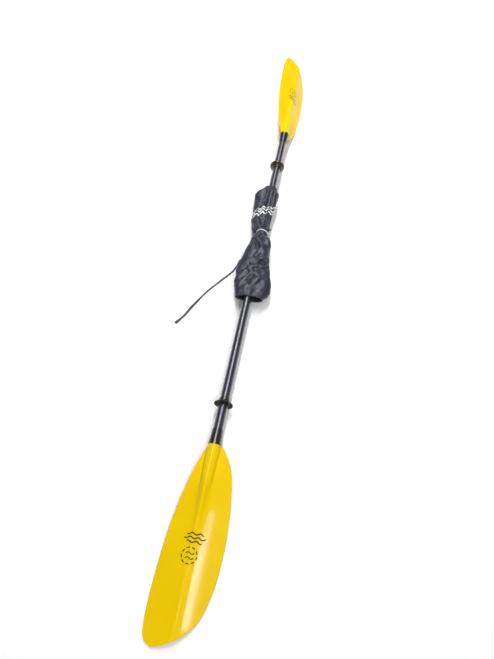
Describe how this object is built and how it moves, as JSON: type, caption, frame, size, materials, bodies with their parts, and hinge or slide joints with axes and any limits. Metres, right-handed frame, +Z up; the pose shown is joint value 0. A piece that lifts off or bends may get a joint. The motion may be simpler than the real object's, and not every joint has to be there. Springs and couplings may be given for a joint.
{
  "type": "kayak paddle",
  "caption": "Feathered two-piece kayak paddle with yellow moulded blades, a black shaft with a snap-button ferrule, drip rings, and a pair of fabric hand covers at its middle.",
  "frame": {"origin": "bottom centre of the paddle's box as it lies on the floor, without the webbing tail", "axes": "+Y along the shaft from the flat-lying near blade to the feathered far blade, +Z up, +X to the right as seen from the near blade"},
  "size_m": [0.3138, 2.3977, 0.13],
  "materials": {
    "yellow_plastic": "gloss moulded nylon",
    "black_plastic": "satin moulded",
    "shaft_black": "gloss black coating on aluminium tube",
    "ferrule_metal": "satin",
    "spring_steel": "bright",
    "foam_plug": "closed-cell foam",
    "smoky_rubber": "translucent smoky",
    "cover_nylon": "coated woven nylon",
    "hem_elastic": "gathered binding",
    "white_cord": "braided elastic",
    "webbing": "flat woven webbing"
  },
  "bodies": {
    "near_half": {"near_blade": "yellow_plastic", "near_neck_sleeve": "black_plastic", "near_shaft_tube": "shaft_black", "near_tube_plug": "foam_plug", "ferrule_socket": "ferrule_metal"},
    "joint_ring": {"ferrule_gasket": "black_plastic"},
    "far_half": {"far_blade": "yellow_plastic", "far_neck_sleeve": "black_plastic", "far_shaft_tube": "shaft_black", "far_tube_plug": "foam_plug", "ferrule_plug": "ferrule_metal", "button_spring": "spring_steel"},
    "button": {"snap_button": "spring_steel"},
    "near_ring": {"near_drip_ring": "smoky_rubber"},
    "far_ring": {"far_drip_ring": "smoky_rubber"},
    "near_sleeve": {"near_cover": "cover_nylon", "near_cover_hem": "hem_elastic", "near_cover_cuff": "cover_nylon", "strap_anchor": "webbing", "pull_strap": "webbing", "strap_end": "webbing"},
    "far_sleeve": {"far_cover": "cover_nylon", "far_cover_hem": "hem_elastic", "far_cover_cuff": "cover_nylon", "waist_cord": "white_cord"}
  },
  "joints": [
    {"name": "feather_twist", "type": "hinge", "parent": "near_half", "child": "joint_ring", "pos_m": [-0.00234, 0.00022, 0.04946], "axis": [0, 0.9996, 0.0271], "range_deg": [-100, 0], "deforming": ["snap_button", "button_spring"]},
    {"name": "ferrule_pull", "type": "slide", "parent": "joint_ring", "child": "far_half", "axis": [0, 0.9996, 0.0271], "range_m": [0, 0.1], "deforming": ["snap_button", "button_spring"]},
    {"name": "button_press", "type": "slide", "parent": "far_half", "child": "button", "axis": [-1, 0, 0], "range_m": [0, 0.0042], "stiffness_N_per_m": 1200, "springref_m": -0.002, "deforming": ["button_spring"]},
    {"name": "near_ring_slide", "type": "slide", "parent": "near_half", "child": "near_ring", "axis": [0, 0.9996, 0.0271], "range_m": [-0.05, 0.36]},
    {"name": "far_ring_slide", "type": "slide", "parent": "far_half", "child": "far_ring", "axis": [0, 0.9996, 0.0271], "range_m": [-0.1, 0.14]},
    {"name": "near_cover_slide", "type": "slide", "parent": "near_half", "child": "near_sleeve", "axis": [0, 0.9996, 0.0271], "range_m": [-0.3, 0]},
    {"name": "far_cover_slide", "type": "slide", "parent": "far_half", "child": "far_sleeve", "axis": [0, 0.9996, 0.0271], "range_m": [0, 0.09]}
  ]
}
